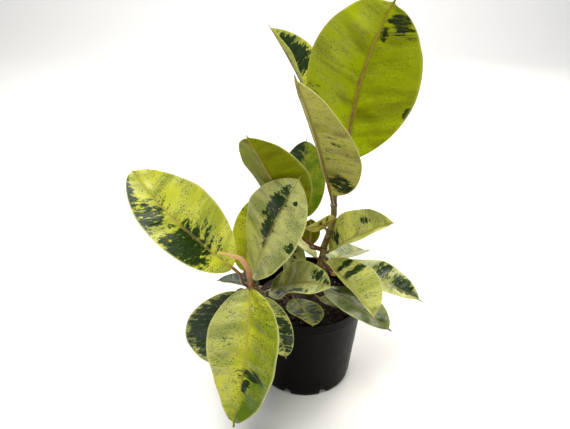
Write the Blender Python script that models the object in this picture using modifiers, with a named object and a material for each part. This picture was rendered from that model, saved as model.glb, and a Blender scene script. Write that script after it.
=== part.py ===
"""Potted rubber plant: a young Ficus in a thin-walled nursery pot.

Metres, +Z up.  The origin is the centre of the pot's flat bottom, on the table.
+X is the plant's right, -Y is its front.
"""
import math

import bmesh
import bpy
from mathutils import Vector

# ---- pot ------------------------------------------------------------------
POT_HEIGHT = 0.127
RIM_RADIUS = 0.076          # outside of the rim, a 15 cm nursery pot
BASE_RADIUS = 0.062
WALL = 0.0018
COLLAR_HEIGHT = 0.016       # the deeper band below the lip
COLLAR_STEP = 0.0020
LIP_DEPTH = 0.0026
FLOOR = 0.0024
DRAIN_HOLES = 8
DRAIN_RADIUS = 0.0055
# ---- soil -----------------------------------------------------------------
SOIL_LEVEL = 0.106
SOIL_DOME = 0.004
# ---- stems and leaves -------------------------------------------------------
GAP = 0.0003                # between pieces that touch
MAIN_RADIUS = 0.0048
MAIN_TOP_RADIUS = 0.0031
BRANCH_RADIUS = 0.0032
SHOOT_RADIUS = 0.0028
BLADE_THICKNESS = 0.0009
MIDRIB_RADIUS = 0.0013
PETIOLE_RADIUS = 0.0018
PETIOLE_LEAN = 0.5          # rise of a petiole along its stem, per unit outwards
PETIOLE_ROWS = 4
BLADE_ROWS = 14
ACROSS = 4                  # strips from one margin to the other
TIP_START = 0.955           # share of the blade before its drip tip


for old in list(bpy.data.objects):
    bpy.data.objects.remove(old, do_unlink=True)

plant = bpy.data.collections.new("potted_rubber_plant")
cutters = bpy.data.collections.new("cutters")
bpy.context.scene.collection.children.link(plant)
bpy.context.scene.collection.children.link(cutters)


def material(name, colour, roughness):
    mat = bpy.data.materials.new(name)
    mat.use_nodes = True
    shader = mat.node_tree.nodes["Principled BSDF"]
    shader.inputs["Base Color"].default_value = (*colour, 1.0)
    shader.inputs["Roughness"].default_value = roughness
    shader.inputs["Metallic"].default_value = 0.0
    return mat


POT_PLASTIC = material("black_pot_plastic", (0.014, 0.012, 0.011), 0.38)
POTTING_SOIL = material("potting_soil", (0.030, 0.018, 0.011), 0.95)
BROWN_BARK = material("brown_bark", (0.12, 0.060, 0.028), 0.60)
YOUNG_STEM = material("young_green_brown_stem", (0.17, 0.085, 0.035), 0.50)
PINK_SHEATH = material("pink_bud_sheath", (0.56, 0.25, 0.17), 0.45)
DARK_GREEN = material("dark_green_leaf", (0.10, 0.17, 0.05), 0.35)
YELLOW_GREEN = material("yellow_green_leaf", (0.50, 0.55, 0.10), 0.38)
PALE_GREEN = material("pale_green_leaf", (0.38, 0.48, 0.16), 0.38)


def add_object(name, data, mat, collection=plant):
    obj = bpy.data.objects.new(name, data)
    collection.objects.link(obj)
    if mat is not None:
        data.materials.append(mat)
    return obj


def shade_round(mesh, degrees=35):
    mesh.shade_smooth()
    mesh.set_sharp_from_angle(angle=math.radians(degrees))


def turned(name, profile, mat, steps, collection=plant):
    """A profile of (radius, height) points turned once about Z."""
    bm = bmesh.new()
    verts = [bm.verts.new((r, 0.0, z)) for r, z in profile]
    for a, b in zip(verts, verts[1:]):
        bm.edges.new((a, b))
    mesh = bpy.data.meshes.new(name)
    bm.to_mesh(mesh)
    bm.free()
    obj = add_object(name, mesh, mat, collection)
    screw = obj.modifiers.new("turn", "SCREW")
    screw.steps = steps
    screw.render_steps = steps
    screw.use_merge_vertices = True
    screw.merge_threshold = 0.00001
    screw.use_smooth_shade = True
    return obj


# ---- pot: thin injection-moulded wall, collar band, rolled lip ----------------
collar_z = POT_HEIGHT - COLLAR_HEIGHT
wall_top = RIM_RADIUS - COLLAR_STEP - 0.0012
pot_profile = [
    (0.0, FLOOR),
    (BASE_RADIUS - 0.0080, FLOOR),
    (BASE_RADIUS - WALL - 0.0014, 0.0062),
    (wall_top - WALL, collar_z - 0.002),
    (RIM_RADIUS - 0.0012 - WALL, collar_z + 0.002),
    (RIM_RADIUS - LIP_DEPTH, POT_HEIGHT - 0.0012),
    (RIM_RADIUS - 0.0018, POT_HEIGHT),
    (RIM_RADIUS - 0.0006, POT_HEIGHT),
    (RIM_RADIUS, POT_HEIGHT - 0.0010),
    (RIM_RADIUS, POT_HEIGHT - 0.0030),
    (RIM_RADIUS - 0.0010, POT_HEIGHT - 0.0036),
    (RIM_RADIUS - 0.0014, collar_z + 0.0004),
    (RIM_RADIUS - 0.0022, collar_z - 0.0004),
    (wall_top, collar_z - 0.0012),
    (BASE_RADIUS, 0.0055),
    (BASE_RADIUS - 0.0010, 0.0024),
    (BASE_RADIUS - 0.0036, 0.0004),
    (BASE_RADIUS - 0.0052, 0.0),
    (0.0, 0.0),
]
pot = turned("pot", pot_profile, POT_PLASTIC, 48)

for i in range(DRAIN_HOLES):
    # slots that open through the rounded bottom edge
    angle = 2 * math.pi * (i + 0.5) / DRAIN_HOLES
    bm = bmesh.new()
    bmesh.ops.create_cone(bm, cap_ends=True, segments=10, radius1=DRAIN_RADIUS,
                          radius2=DRAIN_RADIUS, depth=0.020)
    mesh = bpy.data.meshes.new("drain_cutter_%d" % i)
    bm.to_mesh(mesh)
    bm.free()
    cutter = add_object("drain_cutter_%d" % i, mesh, None, cutters)
    radius = BASE_RADIUS - 0.0035
    cutter.location = (radius * math.cos(angle), radius * math.sin(angle), 0.0)
    cutter.rotation_euler = (0.0, math.radians(38), angle)
    cutter.display_type = "WIRE"
    cutter.hide_render = True
    cut = pot.modifiers.new("drain_%d" % i, "BOOLEAN")
    cut.operation = "DIFFERENCE"
    cut.solver = "EXACT"
    cut.object = cutter

# ---- soil: the plug of potting mix, domed a little towards the stem -----------
soil_r = wall_top - WALL - 0.0010
soil_bottom = FLOOR + 0.012
low_r = BASE_RADIUS - 0.0040
soil_profile = [
    (0.0, SOIL_LEVEL + SOIL_DOME),
    (0.016, SOIL_LEVEL + SOIL_DOME * 0.92),
    (0.034, SOIL_LEVEL + SOIL_DOME * 0.62),
    (0.052, SOIL_LEVEL + SOIL_DOME * 0.25),
    (soil_r - 0.0040, SOIL_LEVEL),
    (soil_r - 0.0014, SOIL_LEVEL - 0.0030),
    (low_r, soil_bottom),
    (low_r - 0.004, FLOOR + GAP + 0.006),
    (low_r - 0.014, FLOOR + GAP),
    (0.0, FLOOR + GAP),
]
soil = turned("soil", soil_profile, POTTING_SOIL, 32)


# ---- stems ------------------------------------------------------------------
def smooth_path(points, per_span=4):
    """A Catmull-Rom path through the points, as a list of vectors."""
    pts = [Vector(p) for p in points]
    pts = [2 * pts[0] - pts[1]] + pts + [2 * pts[-1] - pts[-2]]
    path = []
    for i in range(1, len(pts) - 2):
        a, b, c, d = pts[i - 1:i + 3]
        for k in range(per_span):
            t = k / per_span
            path.append(0.5 * (2 * b + (c - a) * t + (2 * a - 5 * b + 4 * c - d) * t * t
                               + (3 * b - a - 3 * c + d) * t ** 3))
    path.append(pts[-2])
    return path


def stem(name, points, radius, tip_radius, mat):
    """A round tapering stem along a smooth path, closed at both ends."""
    path = smooth_path(points)
    curve = bpy.data.curves.new(name, "CURVE")
    curve.dimensions = "3D"
    curve.bevel_depth = radius
    curve.bevel_resolution = 2
    curve.use_fill_caps = True
    spline = curve.splines.new("POLY")
    spline.points.add(len(path) - 1)
    for i, p in enumerate(path):
        share = i / (len(path) - 1)
        spline.points[i].co = (*p, 1.0)
        spline.points[i].radius = (radius + (tip_radius - radius) * share) / radius
    add_object(name, curve, mat)
    return path


def socket(name, point, radius):
    """The hole that a stem's foot sits in: it goes straight down into the soil."""
    bm = bmesh.new()
    bmesh.ops.create_cone(bm, cap_ends=True, segments=12, radius1=radius,
                          radius2=radius, depth=0.040)
    mesh = bpy.data.meshes.new(name)
    bm.to_mesh(mesh)
    bm.free()
    cutter = add_object(name, mesh, None, cutters)
    cutter.location = point
    cutter.display_type = "WIRE"
    cutter.hide_render = True
    cut = soil.modifiers.new(name, "BOOLEAN")
    cut.operation = "DIFFERENCE"
    cut.solver = "EXACT"
    cut.object = cutter


MAIN_FOOT = (0.006, 0.004, 0.092)
BRANCH_FOOT = (-0.014, -0.008, 0.092)
main_points = [
    MAIN_FOOT,
    (0.006, 0.004, 0.112),
    (0.012, 0.004, 0.140),
    (0.020, 0.002, 0.168),
    (0.022, 0.001, 0.188),
    (0.028, 0.000, 0.210),
    (0.032, 0.000, 0.232),
    (0.032, 0.001, 0.258),
    (0.038, 0.002, 0.297),
    (0.045, 0.002, 0.336),
]
branch_points = [
    BRANCH_FOOT,
    (-0.014, -0.008, 0.112),
    (-0.024, -0.020, 0.134),
    (-0.038, -0.044, 0.156),
    (-0.050, -0.067, 0.167),
    (-0.057, -0.080, 0.182),
    (-0.060, -0.087, 0.196),
]
shoot_points = [
    (0.0225, -0.0052, 0.1605),
    (0.026, -0.012, 0.160),
    (0.031, -0.020, 0.162),
]
main_path = stem("main_stem", main_points, MAIN_RADIUS, MAIN_TOP_RADIUS, BROWN_BARK)
branch_path = stem("left_branch", branch_points, BRANCH_RADIUS, 0.0024, BROWN_BARK)
shoot_path = stem("right_shoot", shoot_points, SHOOT_RADIUS, 0.0022, YOUNG_STEM)
socket("main_foot_socket", (0.006, 0.004, 0.092 + 0.0197), MAIN_RADIUS + 0.0008)
socket("branch_foot_socket", (-0.014, -0.008, 0.092 + 0.0197), BRANCH_RADIUS + 0.0014)

STEMS = {
    "main": (main_path, MAIN_RADIUS, MAIN_TOP_RADIUS),
    "branch": (branch_path, BRANCH_RADIUS, 0.0024),
    "shoot": (shoot_path, SHOOT_RADIUS, 0.0022),
}


def on_stem(which, share, towards, clearance):
    """A point just off a stem's bark on the side of `towards`, and the way out of it."""
    path, r0, r1 = STEMS[which]
    place = share * (len(path) - 1)
    i = min(int(place), len(path) - 2)
    centre = path[i].lerp(path[i + 1], place - i)
    along = (path[i + 1] - path[i]).normalized()
    out = towards - centre
    out = (out - along * out.dot(along)).normalized()
    root = centre + out * (r0 + (r1 - r0) * share + clearance)
    return root, (out + along * PETIOLE_LEAN).normalized()


# ---- leaves -----------------------------------------------------------------
def half_width(s, fullness):
    """Outline of the blade: 0 at its base, 1 at its widest, then a drip tip."""
    q = min(s / TIP_START, 1.0)
    body = 0.0
    if q < 1.0:
        body = math.sin(math.pi * q ** 0.92) ** (0.62 + (fullness - 0.62) * q)
    spike = 0.070 * min(max((1 - s) / 0.10, 0.0), 1.0) * min(max((s - 0.5) / 0.3, 0.0), 1.0)
    return math.hypot(body, spike)


def leaf(name, mat, stem_at, base, heading, rise, length, width, droop=10, sweep=0,
         roll=0, twist=0, fold=15, fullness=0.7, cup=0.0, wave=0.0, phase=0.0):
    """One leaf: petiole and blade in one closed body.

    The midrib starts at `base`, heads `heading` degrees round from +X and `rise`
    degrees above level, droops and sweeps evenly along its length.  `roll` tips the
    blade about its midrib, `twist` adds to that towards the tip, `fold` lifts both
    halves into a shallow V.
    """
    base = Vector(base)
    rows = PETIOLE_ROWS + BLADE_ROWS
    fold = math.radians(fold)

    def frame_at(s):
        h = math.radians(heading + sweep * s)
        e = math.radians(rise - droop * s)
        along = Vector((math.cos(h) * math.cos(e), math.sin(h) * math.cos(e), math.sin(e)))
        level = Vector((-math.sin(h), math.cos(h), 0.0))
        up = along.cross(level)
        turn = math.radians(roll + twist * s)
        side = level * math.cos(turn) + up * math.sin(turn)
        return along, side, along.cross(side)

    # midrib of the blade, stepped along its changing direction
    steps = 48
    midrib = [base]
    for i in range(steps):
        midrib.append(midrib[-1] + frame_at((i + 0.5) / steps)[0] * (length / steps))

    root, out = on_stem(stem_at[0], stem_at[1], base, GAP + 0.0006)
    reach = (base - root).length
    along0, side0, up0 = frame_at(0.0)
    pull_a = root + out * reach * 0.45
    pull_b = base - along0 * reach * 0.40

    bm = bmesh.new()
    bmesh.ops.create_cube(bm, size=2.0)
    long_edges = [e for e in bm.edges if abs(e.verts[0].co.x - e.verts[1].co.x) > 1]
    bmesh.ops.subdivide_edges(bm, edges=long_edges, cuts=rows - 1, use_grid_fill=True)
    wide_edges = [e for e in bm.edges if abs(e.verts[0].co.y - e.verts[1].co.y) > 1]
    bmesh.ops.subdivide_edges(bm, edges=wide_edges, cuts=ACROSS - 1, use_grid_fill=True)
    for vert in bm.verts:
        row = round((vert.co.x + 1) / 2 * rows)
        v = vert.co.y
        top = vert.co.z > 0
        if row <= PETIOLE_ROWS:
            t = row / PETIOLE_ROWS
            u = 1 - t
            centre = root * u ** 3 + pull_a * 3 * u * u * t + pull_b * 3 * u * t * t + base * t ** 3
            along = ((pull_a - root) * 3 * u * u + (pull_b - pull_a) * 6 * u * t
                     + (base - pull_b) * 3 * t * t).normalized()
            side = (side0 - along * side0.dot(along)).normalized()
            up = along.cross(side)
            y = PETIOLE_RADIUS * v
            z = PETIOLE_RADIUS * math.sqrt(max(1 - v * v, 0.10)) * (1 if top else -1)
            vert.co = centre + side * y + up * z
            continue
        s = 1 - (1 - (row - PETIOLE_ROWS) / BLADE_ROWS) ** 1.35
        along, side, up = frame_at(s)
        place = s * steps
        i = min(int(place), steps - 1)
        centre = midrib[i].lerp(midrib[i + 1], place - i)
        half = max(half_width(s, fullness) * width / 2, 0.0006)
        a = abs(v)
        ripple = math.sin(2 * math.pi * (2 * s + phase + (0.15 if v > 0 else 0.0)))
        y = half * v * math.cos(fold)
        z = half * a * math.sin(fold) + cup * half * (a * a - a) + wave * half * a * a * ripple
        thick = BLADE_THICKNESS
        if a < 0.01:
            thick = max(2 * MIDRIB_RADIUS * (1 - 0.75 * s), BLADE_THICKNESS)
        # the rib stands out on the underside only
        z += BLADE_THICKNESS / 2 if top else BLADE_THICKNESS / 2 - thick
        vert.co = centre + side * y + up * z
    mesh = bpy.data.meshes.new(name)
    bm.to_mesh(mesh)
    bm.free()
    shade_round(mesh, 50)
    return add_object(name, mesh, mat)


# Crown of the main stem: four big leaves and the mid leaves below them.
leaf("leaf_crown_tall", YELLOW_GREEN, ("main", 0.86), (0.043, -0.006, 0.306),
     heading=-65, rise=89, length=0.195, width=0.120, droop=44, sweep=-7,
     roll=-49, twist=19, fold=11, fullness=0.60)
leaf("leaf_crown_folded", YELLOW_GREEN, ("main", 0.74), (0.024, -0.033, 0.277),
     heading=-117, rise=63, length=0.167, width=0.098, droop=6, sweep=-6,
     roll=-35, twist=11, fold=19, fullness=0.60)
leaf("leaf_crown_back_left", PALE_GREEN, ("main", 0.95), (0.010, 0.041, 0.346),
     heading=-177, rise=66, length=0.113, width=0.064, droop=10, sweep=16,
     roll=-47, twist=20, fold=36, fullness=0.85)
leaf("leaf_mid_left", YELLOW_GREEN, ("main", 0.44), (-0.017, -0.032, 0.242),
     heading=-129, rise=63, length=0.159, width=0.075, droop=17, sweep=20,
     roll=11, twist=-9, fold=20, fullness=0.73)
leaf("leaf_mid_back", PALE_GREEN, ("main", 0.56), (-0.002, 0.020, 0.219),
     heading=93, rise=73, length=0.104, width=0.059, droop=41, sweep=-11,
     roll=-2, twist=-5, fold=25, fullness=0.65)
# Left branch.
leaf("leaf_left_broad", YELLOW_GREEN, ("branch", 0.84), (-0.079, -0.108, 0.229),
     heading=174, rise=39, length=0.149, width=0.083, droop=4, sweep=-39,
     roll=-37, twist=25, fold=27, fullness=0.60)
leaf("leaf_centre", PALE_GREEN, ("branch", 0.93), (-0.061, -0.080, 0.201),
     heading=-11, rise=72, length=0.129, width=0.085, droop=11, sweep=17,
     roll=22, twist=37, fold=7, fullness=0.60)
leaf("leaf_left_back", YELLOW_GREEN, ("branch", 0.82), (-0.071, -0.062, 0.195),
     heading=77, rise=77, length=0.088, width=0.045, droop=44, sweep=-5,
     roll=28, twist=1, fold=28, fullness=0.72)
leaf("leaf_front_hanging", YELLOW_GREEN, ("branch", 0.95), (-0.062, -0.114, 0.209),
     heading=-91, rise=-58, length=0.147, width=0.091, droop=8, sweep=-30,
     roll=19, twist=-1, fold=10, fullness=0.60)
leaf("leaf_hanging_left", DARK_GREEN, ("branch", 0.80), (-0.077, -0.093, 0.189),
     heading=178, rise=-50, length=0.120, width=0.067, droop=50, sweep=-7,
     roll=-90, twist=7, fold=22, fullness=0.84)
leaf("leaf_hanging_right", PALE_GREEN, ("branch", 0.70), (-0.052, -0.085, 0.175),
     heading=-48, rise=-40, length=0.075, width=0.042, droop=36, sweep=6,
     roll=57, twist=6, fold=13, fullness=0.65)
leaf("leaf_low_wavy", PALE_GREEN, ("branch", 0.62), (-0.042, -0.070, 0.172),
     heading=-29, rise=44, length=0.090, width=0.050, droop=37, sweep=-12,
     roll=28, twist=-8, fold=19, fullness=0.61)
leaf("leaf_low_back", DARK_GREEN, ("branch", 0.35), (-0.024, -0.018, 0.147),
     heading=80, rise=34, length=0.079, width=0.044, droop=19, sweep=-9,
     roll=55, twist=10, fold=16, fullness=0.90)
leaf("leaf_pot_front", YELLOW_GREEN, ("branch", 0.27), (-0.015, -0.025, 0.1285),
     heading=-58, rise=-2, length=0.064, width=0.045, droop=-16, sweep=-26,
     roll=-6, twist=-6, fold=7, fullness=0.79)
# Right side.
leaf("leaf_right_upper", YELLOW_GREEN, ("main", 0.40), (0.029, 0.001, 0.183),
     heading=-38, rise=43, length=0.107, width=0.065, droop=9, sweep=4,
     roll=28, twist=11, fold=39, fullness=0.65)
leaf("leaf_right_back", PALE_GREEN, ("main", 0.33), (0.032, 0.019, 0.156),
     heading=54, rise=-13, length=0.109, width=0.057, droop=10, sweep=0,
     roll=-4, twist=3, fold=18, fullness=0.80)
leaf("leaf_right_drooping", PALE_GREEN, ("main", 0.29), (0.035, 0.006, 0.151),
     heading=-19, rise=5, length=0.118, width=0.062, droop=22, sweep=-15,
     roll=1, twist=-2, fold=16, fullness=0.74)
leaf("leaf_right_folded", YELLOW_GREEN, ("shoot", 0.80), (0.022, -0.026, 0.184),
     heading=-51, rise=-12, length=0.107, width=0.064, droop=-15, sweep=-27,
     roll=-10, twist=-1, fold=38, fullness=0.60)
leaf("leaf_right_under", DARK_GREEN, ("main", 0.22), (0.023, -0.021, 0.143),
     heading=-47, rise=2, length=0.105, width=0.054, droop=6, sweep=-5,
     roll=-13, twist=16, fold=12, fullness=0.61)
leaf("leaf_right_strip", YELLOW_GREEN, ("main", 0.33), (0.0135, 0.005, 0.170),
     heading=146, rise=29, length=0.088, width=0.048, droop=-5, sweep=1,
     roll=22, twist=12, fold=5, fullness=0.79)
leaf("leaf_small_front", PALE_GREEN, ("main", 0.655), (0.033, -0.0085, 0.233),
     heading=-132, rise=-5, length=0.048, width=0.023, droop=-17, sweep=-22,
     roll=70, twist=-7, fold=6, fullness=0.80)
leaf("leaf_small_shaded", DARK_GREEN, ("main", 0.42), (0.005, 0.000, 0.191),
     heading=255, rise=105, length=0.039, width=0.023, droop=35, sweep=0,
     roll=2, twist=3, fold=14, fullness=0.75)
leaf("leaf_pot_right", PALE_GREEN, ("main", 0.14), (0.018, -0.014, 0.121),
     heading=-28, rise=10, length=0.050, width=0.026, droop=16, sweep=-6,
     roll=8, twist=0, fold=16, fullness=0.75)
leaf("leaf_left_under", DARK_GREEN, ("branch", 0.70), (-0.056, -0.054, 0.168),
     heading=172, rise=14, length=0.050, width=0.034, droop=10, sweep=12,
     roll=10, twist=0, fold=14, fullness=0.75)


# ---- growing tips: each unopened leaf is rolled up in a pink sheath ------------
def bud_sheath(name, points, girth):
    """A slender spear, widest a third of the way up, closed at both ends."""
    path = smooth_path(points, 3)
    curve = bpy.data.curves.new(name, "CURVE")
    curve.dimensions = "3D"
    curve.bevel_depth = girth
    curve.bevel_resolution = 2
    curve.use_fill_caps = True
    spline = curve.splines.new("POLY")
    spline.points.add(len(path) - 1)
    for i, p in enumerate(path):
        share = i / (len(path) - 1)
        spline.points[i].co = (*p, 1.0)
        spline.points[i].radius = 0.12 + 0.88 * math.sin(math.pi * (0.24 + 0.76 * share)) ** 0.8
    return add_object(name, curve, PINK_SHEATH)


bud_sheath("bud_sheath_left", [(-0.0634, -0.0892, 0.2005), (-0.0648, -0.0990, 0.2217),
                               (-0.0718, -0.1110, 0.2427), (-0.0903, -0.1240, 0.2571)], 0.0034)
bud_sheath("bud_sheath_crown", [(0.0453, 0.0022, 0.3370), (0.048, 0.004, 0.352),
                                (0.050, 0.006, 0.368), (0.050, 0.008, 0.386)], 0.0030)
bud_sheath("bud_sheath_right", [(0.0315, -0.0207, 0.1622), (0.034, -0.0235, 0.1640),
                                (0.037, -0.026, 0.1665)], 0.0024)
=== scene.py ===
import math
import random

import bmesh
import bpy
from mathutils import Matrix, Vector, noise


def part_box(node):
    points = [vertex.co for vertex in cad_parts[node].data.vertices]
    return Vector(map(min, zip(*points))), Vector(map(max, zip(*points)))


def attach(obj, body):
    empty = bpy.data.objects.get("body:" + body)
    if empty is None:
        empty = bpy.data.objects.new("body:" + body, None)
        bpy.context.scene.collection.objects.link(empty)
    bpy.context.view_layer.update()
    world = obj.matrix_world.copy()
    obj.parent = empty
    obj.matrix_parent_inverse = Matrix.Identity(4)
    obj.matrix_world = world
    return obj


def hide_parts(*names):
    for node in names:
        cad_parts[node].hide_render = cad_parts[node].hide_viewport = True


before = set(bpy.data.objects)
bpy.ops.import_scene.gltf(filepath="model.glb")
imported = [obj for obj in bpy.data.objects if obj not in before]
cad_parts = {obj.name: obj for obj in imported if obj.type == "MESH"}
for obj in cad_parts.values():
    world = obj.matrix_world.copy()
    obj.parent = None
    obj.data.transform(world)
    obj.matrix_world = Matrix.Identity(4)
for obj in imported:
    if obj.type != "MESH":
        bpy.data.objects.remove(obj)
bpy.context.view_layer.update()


# ---- studio ------------------------------------------------------------------
# A pale floor that curves up into a backdrop, a camera looking down on the plant
# from standing height, and soft lamps with one large panel behind the leaves.
def linear(hex_colour):
    """An sRGB hex value such as 'd8dc6a' as linear red, green, blue, alpha."""
    out = []
    for i in (0, 2, 4):
        c = int(hex_colour[i:i + 2], 16) / 255
        out.append(c / 12.92 if c <= 0.04045 else ((c + 0.055) / 1.055) ** 2.4)
    return (*out, 1.0)


def add(tree, kind, inputs=None, **settings):
    """Add a node; a socket given as an input is linked, anything else is set."""
    made = tree.nodes.new(kind)
    for key, value in settings.items():
        setattr(made, key, value)
    for key, value in (inputs or {}).items():
        if isinstance(value, bpy.types.NodeSocket):
            tree.links.new(value, made.inputs[key])
        else:
            made.inputs[key].default_value = value
    return made


def new_material(name):
    mat = bpy.data.materials.new(name)
    mat.use_nodes = True
    tree = mat.node_tree
    tree.nodes.clear()
    return mat, tree, tree.nodes.new("ShaderNodeOutputMaterial")


def link_object(name, data):
    obj = bpy.data.objects.new(name, data)
    bpy.context.scene.collection.objects.link(obj)
    return obj


FLOOR_HALF = 3.0
BACKDROP_BEND = 0.9
bm = bmesh.new()
bmesh.ops.create_grid(bm, x_segments=1, y_segments=1, size=FLOOR_HALF)
back_edge = [e for e in bm.edges if all(v.co.y > 0 for v in e.verts)]
wall = bmesh.ops.extrude_edge_only(bm, edges=back_edge)
bmesh.ops.translate(bm, verts=[g for g in wall["geom"] if isinstance(g, bmesh.types.BMVert)],
                    vec=(0, 0, 3.0))
bmesh.ops.bevel(bm, geom=back_edge, offset=BACKDROP_BEND, affect="EDGES", segments=24,
                profile=0.5, material=-1)
backdrop_mesh = bpy.data.meshes.new("backdrop")
bm.to_mesh(backdrop_mesh)
bm.free()
backdrop_mesh.shade_smooth()
backdrop = link_object("backdrop", backdrop_mesh)
# Matte studio paper: no gloss, very light warm grey.
paper, tree, out = new_material("matte_studio_paper")
shader = add(tree, "ShaderNodeBsdfPrincipled", {"Base Color": linear("f3f2f0"), "Roughness": 0.9,
                                                "Specular IOR Level": 0.1})
tree.links.new(shader.outputs[0], out.inputs[0])
backdrop_mesh.materials.append(paper)

camera_data = bpy.data.cameras.new("camera")
camera_data.sensor_width = 36.0
camera_data.lens = 32.84  # a 57 degree view across
camera = link_object("camera", camera_data)
camera.location = (-0.026, -0.550, 0.520)
camera.rotation_euler = (math.radians(62.5), 0.0, 0.0)
bpy.context.scene.camera = camera
# the plain transform, so that each material's hex value shows as that colour
bpy.context.scene.view_settings.view_transform = "Standard"


def area_lamp(name, place, target, size, watts, colour="ffffff"):
    lamp = bpy.data.lights.new(name, "AREA")
    lamp.shape = "DISK"
    lamp.size = size
    lamp.energy = watts
    lamp.color = linear(colour)[:3]
    obj = link_object(name, lamp)
    obj.location = place
    obj.rotation_euler = (Vector(target) - Vector(place)).to_track_quat("-Z", "Y").to_euler()


middle = Vector((-0.02, -0.04, 0.22))
area_lamp("window_back", (0.50, 1.25, 1.30), middle, 1.3, 24, "fffbee")
area_lamp("ceiling_key", (-0.20, -0.50, 1.50), middle, 0.8, 18.5, "fffdf6")
area_lamp("front_fill", (0.9, -1.3, 1.0), middle, 1.4, 5)
area_lamp("backdrop_wash", (0.0, 1.5, 2.4), (0.0, 3.0, 0.4), 1.6, 45)
world = bpy.data.worlds.new("studio_light")
bpy.context.scene.world = world
world.use_nodes = True
world.node_tree.nodes["Background"].inputs["Color"].default_value = linear("f4f6f8")
world.node_tree.nodes["Background"].inputs["Strength"].default_value = 0.32


# ---- pot -----------------------------------------------------------------------
# A thin injection-moulded nursery pot: tapered wall, a wider collar band under a
# rolled lip, and a rounded foot with eight drain slots moulded through it.
def finish_piece(name, bm, materials, smooth=40):
    """Turn a bmesh into a piece that rides with the plant."""
    mesh = bpy.data.meshes.new(name)
    bm.to_mesh(mesh)
    bm.free()
    mesh.shade_smooth()
    if smooth < 180:
        mesh.set_sharp_from_angle(angle=math.radians(smooth))
    for mat in materials:
        mesh.materials.append(mat)
    piece = link_object(name, mesh)
    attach(piece, "root")
    return piece


def spun(profile, steps):
    """A profile of (radius, height) points spun once about Z into a closed skin."""
    bm = bmesh.new()
    verts = [bm.verts.new((r, 0.0, z)) for r, z in profile]
    edges = [bm.edges.new(pair) for pair in zip(verts, verts[1:])]
    bmesh.ops.spin(bm, geom=verts + edges, cent=(0, 0, 0), axis=(0, 0, 1), dvec=(0, 0, 0),
                   angle=2 * math.pi, steps=steps, use_merge=True)
    bmesh.ops.remove_doubles(bm, verts=bm.verts, dist=0.00001)
    bmesh.ops.recalc_face_normals(bm, faces=bm.faces)
    return bm


def rounded(corners, radius, cuts=3):
    """Soften each inner corner of a profile with a short arc."""
    out = [corners[0]]
    for before, here, after in zip(corners, corners[1:], corners[2:]):
        p, a, b = Vector(here), Vector(before) - Vector(here), Vector(after) - Vector(here)
        r = min(radius, a.length * 0.42, b.length * 0.42)
        start, end = p + a.normalized() * r, p + b.normalized() * r
        for k in range(cuts + 1):
            t = k / cuts
            out.append(tuple(start * (1 - t) ** 2 + p * 2 * t * (1 - t) + end * t * t))
    out.append(corners[-1])
    return out


pot_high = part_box("pot")[1]
POT_HEIGHT = pot_high[2]
RIM_RADIUS = pot_high[0]
BASE_RADIUS = 0.062
POT_WALL = 0.0018
POT_FLOOR = 0.0024
COLLAR = 0.016
collar_z = POT_HEIGHT - COLLAR
wall_top = RIM_RADIUS - 0.0032
pot_outline = rounded([
    (0.0, POT_FLOOR),
    (BASE_RADIUS - 0.0080, POT_FLOOR),
    (BASE_RADIUS - POT_WALL - 0.0014, 0.0062),
    (wall_top - POT_WALL, collar_z - 0.0020),
    (RIM_RADIUS - 0.0012 - POT_WALL, collar_z + 0.0020),
    (RIM_RADIUS - 0.0027, POT_HEIGHT - 0.0010),
    (RIM_RADIUS - 0.0022, POT_HEIGHT),
    (RIM_RADIUS, POT_HEIGHT),
    (RIM_RADIUS, POT_HEIGHT - 0.0032),
    (RIM_RADIUS - 0.0011, POT_HEIGHT - 0.0037),
    (RIM_RADIUS - 0.0014, collar_z + 0.0006),
    (RIM_RADIUS - 0.0022, collar_z - 0.0002),
    (wall_top, collar_z - 0.0012),
    (BASE_RADIUS + 0.0002, 0.0070),
    (BASE_RADIUS - 0.0014, 0.0012),
    (BASE_RADIUS - 0.0056, 0.0),
    (BASE_RADIUS - 0.0120, 0.0),
    (BASE_RADIUS - 0.0150, 0.0),
    (0.0, 0.0),
], 0.0009)
pot_bm = spun(pot_outline, 128)
pot_mesh = bpy.data.meshes.new("pot_shell")
pot_bm.to_mesh(pot_mesh)
pot_bm.free()
pot_solid = link_object("pot_shell", pot_mesh)
DRAIN_SLOTS = 8
slot_bm = bmesh.new()
for i in range(DRAIN_SLOTS):
    angle = 2 * math.pi * (i + 0.5) / DRAIN_SLOTS
    place = (Matrix.Rotation(angle, 4, "Z") @ Matrix.Translation((BASE_RADIUS - 0.0035, 0, 0))
             @ Matrix.Rotation(math.radians(38), 4, "Y"))
    bmesh.ops.create_cone(slot_bm, cap_ends=True, segments=32, radius1=0.0055,
                          radius2=0.0055, depth=0.020, matrix=place)
slot_mesh = bpy.data.meshes.new("slot_cutter")
slot_bm.to_mesh(slot_mesh)
slot_bm.free()
slot_cutter = link_object("slot_cutter", slot_mesh)
cut = pot_solid.modifiers.new("slots", "BOOLEAN")
cut.object = slot_cutter
cut.operation = "DIFFERENCE"
cut.solver = "EXACT"
evaluated = pot_solid.evaluated_get(bpy.context.evaluated_depsgraph_get())
bm = bmesh.new()
bm.from_mesh(bpy.data.meshes.new_from_object(evaluated))
for scrap in (pot_solid, slot_cutter):
    bpy.data.objects.remove(scrap, do_unlink=True)

# Black polypropylene, injection moulded: satin with a fine mould grain, light upright
# scuffs where pots are stacked, and a little dust near the foot.
pot_plastic, tree, out = new_material("moulded_black_polypropylene")
coords = add(tree, "ShaderNodeTexCoord").outputs["Object"]
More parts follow.
